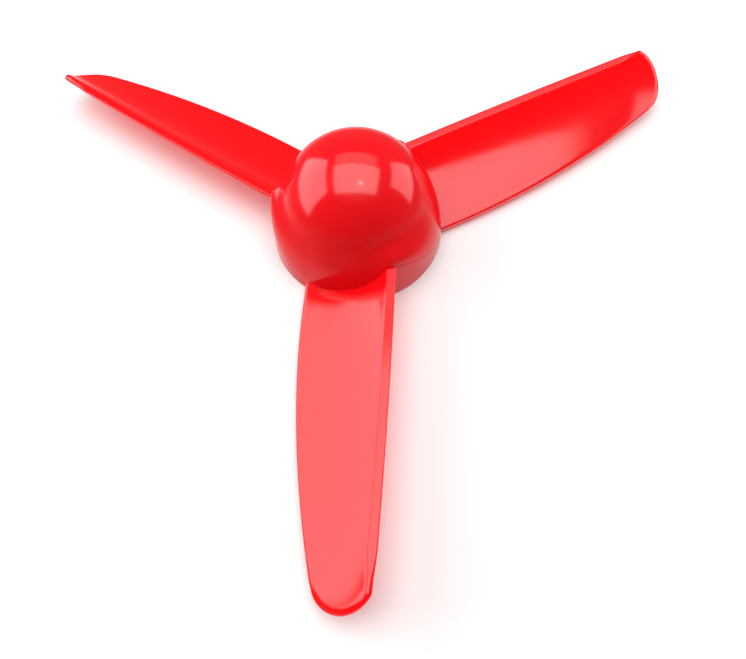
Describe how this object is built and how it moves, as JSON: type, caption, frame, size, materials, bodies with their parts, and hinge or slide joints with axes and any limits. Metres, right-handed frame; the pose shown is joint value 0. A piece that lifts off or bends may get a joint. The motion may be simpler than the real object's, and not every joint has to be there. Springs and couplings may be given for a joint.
{
  "type": "model propeller",
  "caption": "Fixed-pitch model propeller with cupped round-tipped blades clamped in a ball-shaped hub, turning on a flanged shaft bush.",
  "frame": {"origin": "shaft axis at the hub's rear rim, which is also the rear face of the shaft bush", "axes": "+Z along the shaft axis, forwards to the nose; blade_1 points along -Y; +X to the right seen from the front with blade_1 down"},
  "size_m": [0.0875, 0.0775, 0.0155],
  "materials": {
    "hub_plastic": "glossy moulded",
    "blade_plastic": "glossy moulded",
    "steel": "zinc plated",
    "brass": "turned",
    "white_plastic": "matte"
  },
  "bodies": {
    "bush": {"shaft_bush": "brass", "thrust_washer": "white_plastic", "bush_clip": "steel"},
    "rotor": {"hub_base": "hub_plastic", "spinner_dome": "hub_plastic", "blade_1": "blade_plastic", "blade_2": "blade_plastic", "blade_3": "blade_plastic", "hub_screws": "steel"}
  },
  "joints": [
    {"name": "spin", "type": "hinge", "parent": "bush", "child": "rotor", "pos_m": [0, 0, 0], "axis": [0, 0, 1], "continuous": true}
  ]
}
